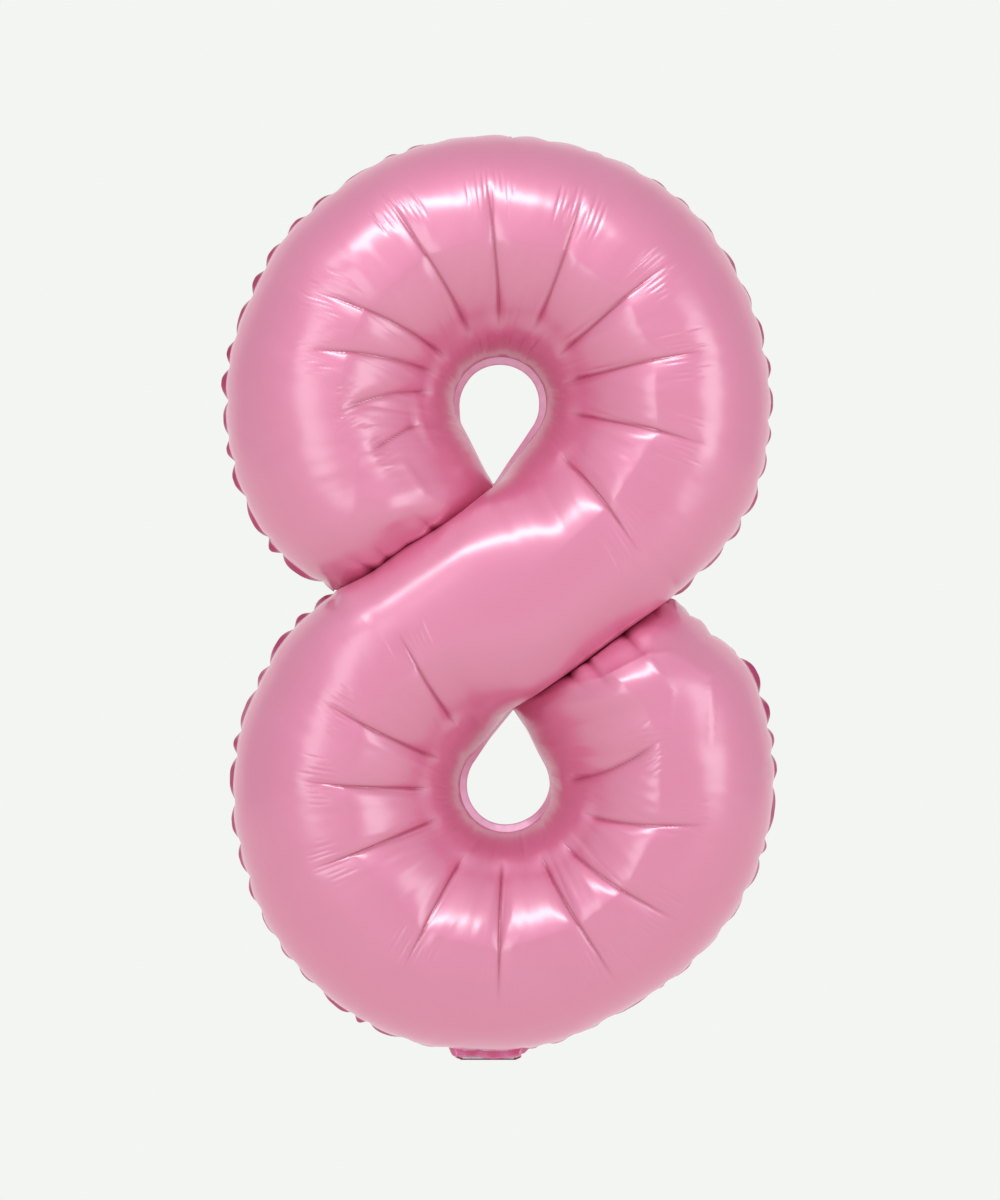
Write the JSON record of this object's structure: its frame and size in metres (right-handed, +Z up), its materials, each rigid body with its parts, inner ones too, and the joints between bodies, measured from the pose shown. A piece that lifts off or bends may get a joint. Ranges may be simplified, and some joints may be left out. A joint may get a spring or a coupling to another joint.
{
  "type": "foil number balloon",
  "caption": "Inflated foil balloon shaped as the digit 8: two metallised films sealed along hems and welds, with a self-sealing tail valve and a folded hanging tab.",
  "frame": {"origin": "middle of the inflation tail's root line at the bottom of the balloon, where a ribbon is tied", "axes": "+Z up along the digit's height, +X to the reader's right, -Y out of the front face"},
  "size_m": [0.5182, 0.1912, 0.8651],
  "materials": {
    "foil_front": "satin",
    "foil_back": "satin",
    "foil_hem": "satin",
    "foil_weld": "satin",
    "foil_tail": "satin",
    "valve_film": "satin",
    "release_print": "matte"
  },
  "bodies": {
    "balloon": {"front_film": "foil_front", "back_film": "foil_back", "outer_seam_hem": "foil_hem", "upper_hole_hem": "foil_hem", "lower_hole_hem": "foil_hem", "upper_lobe_weld": "foil_weld", "lower_lobe_weld": "foil_weld", "valve_front_film": "valve_film", "valve_back_film": "valve_film", "valve_release_strip": "release_print"},
    "tail_front": {"tail_front_leaf": "foil_tail"},
    "tail_back": {"tail_back_leaf": "foil_tail"},
    "tab": {"hanging_tab": "foil_tail"}
  },
  "joints": [
    {"name": "tail_fold", "type": "hinge", "parent": "balloon", "child": "tail_front", "pos_m": [0, 0, 0], "axis": [1, 0, 0], "range_deg": [-190, 8]},
    {"name": "tail_mouth", "type": "hinge", "parent": "tail_front", "child": "tail_back", "pos_m": [0, 0, 0], "axis": [1, 0, 0], "range_deg": [0, 10]},
    {"name": "tab_fold", "type": "hinge", "parent": "balloon", "child": "tab", "pos_m": [0.009, 0, 0.8641], "axis": [1, 0, 0], "range_deg": [-8, 190]}
  ]
}
